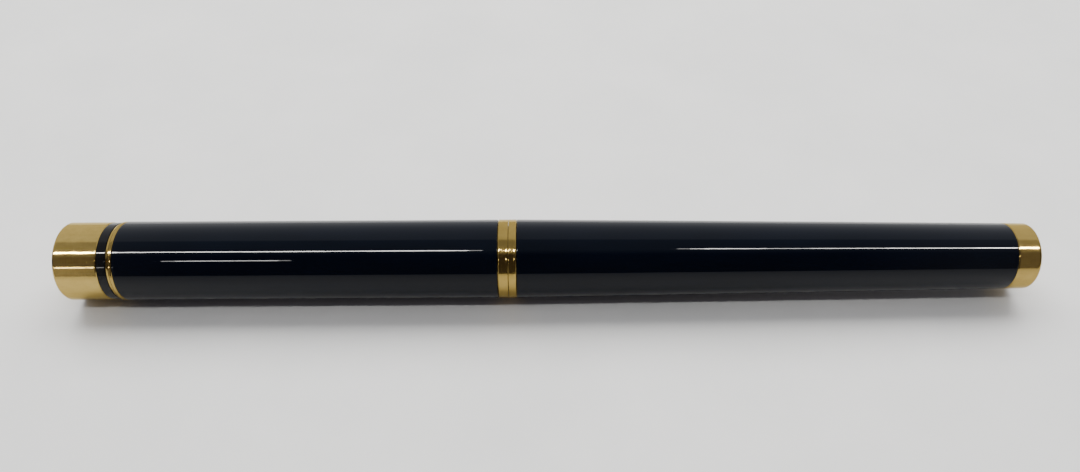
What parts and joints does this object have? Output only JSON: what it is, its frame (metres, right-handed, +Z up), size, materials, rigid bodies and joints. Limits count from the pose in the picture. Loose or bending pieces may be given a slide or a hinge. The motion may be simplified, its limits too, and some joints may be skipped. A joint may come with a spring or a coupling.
{
  "type": "rollerball pen",
  "caption": "Slim capped rollerball pen with a black lacquered cap and tapering barrel, gold trim and a pocket clip; it pulls open and unscrews to reach a sprung refill.",
  "frame": {"origin": "on the pen's axis, at the centre of the crown's flat end face", "axes": "+X along the pen from the crown to the tail; +Z up as the pen lies on its cap and clip; the clip points to +Y and down"},
  "size_m": [0.1396, 0.013, 0.0116],
  "materials": {
    "black_lacquer": "deep high-gloss blue-black lacquer over brass",
    "gold_plate": "polished warm gold plate with fine handling scratches",
    "black_plastic": "moulded black plastic, glossy",
    "turned_brass": "machined brass, fine turning marks",
    "steel": "bright nickelled steel",
    "refill_metal": "satin drawn metal tube",
    "seal_rubber": "matt black rubber",
    "white_plastic": "satin off-white moulded plastic",
    "inked_fibre": "ink-soaked fibre bundle"
  },
  "bodies": {
    "barrel": {"barrel_tube": "black_lacquer", "barrel_band": "gold_plate", "barrel_bush": "turned_brass", "tail_plug": "turned_brass", "tail_cap": "gold_plate", "refill_spring": "steel"},
    "seal": {"sealing_ring": "seal_rubber"},
    "section": {"grip_section": "black_lacquer", "grip_ring": "gold_plate", "nozzle": "gold_plate", "section_nipple": "turned_brass"},
    "catch": {"snap_ring": "steel"},
    "cap": {"cap_crown": "gold_plate", "crown_spacer": "black_plastic", "crown_ring": "gold_plate", "cap_tube": "black_lacquer", "cap_end_plug": "turned_brass", "inner_cap": "black_plastic", "cap_washer": "steel", "cap_screw": "steel", "cap_lip_band": "gold_plate"},
    "clip": {"clip": "gold_plate"},
    "refill": {"refill_tube": "refill_metal", "refill_plug": "white_plastic", "ink_reservoir": "inked_fibre", "feed_rod": "inked_fibre", "refill_nose": "white_plastic", "tip_cone": "steel"},
    "ball": {"writing_ball": "steel"}
  },
  "joints": [
    {"name": "section_advance", "type": "slide", "parent": "barrel", "child": "seal", "axis": [-1, 0, 0], "range_m": [0, 0.00601]},
    {"name": "section_unscrew", "type": "hinge", "parent": "seal", "child": "section", "pos_m": [0.06315, 0, 0], "axis": [-1, 0, 0], "range_deg": [0, 2160]},
    {"name": "cap_turn", "type": "hinge", "parent": "section", "child": "catch", "pos_m": [0.05915, 0, 0], "axis": [1, 0, 0], "continuous": true},
    {"name": "cap_pull", "type": "slide", "parent": "catch", "child": "cap", "axis": [-1, 0, 0], "range_m": [0, 0.06]},
    {"name": "clip_open", "type": "hinge", "parent": "cap", "child": "clip", "pos_m": [0.01017, 0.00441, -0.0032], "axis": [0, 0.588, 0.8089], "range_deg": [0, 6], "stiffness_Nm_per_rad": 0.8, "springref_deg": -1.72},
    {"name": "refill_give", "type": "slide", "parent": "section", "child": "refill", "axis": [1, 0, 0], "range_m": [0, 0.0012], "stiffness_N_per_m": 1000, "springref_m": -0.002, "deforming": ["refill_spring"]},
    {"name": "ball_roll", "type": "hinge", "parent": "refill", "child": "ball", "pos_m": [0.0215, 0, 0], "axis": [0, 1, 0], "continuous": true}
  ],
  "couplings": [
    {"joint": "section_advance", "follows": "section_unscrew", "m_per_rad": 0.00015915}
  ]
}
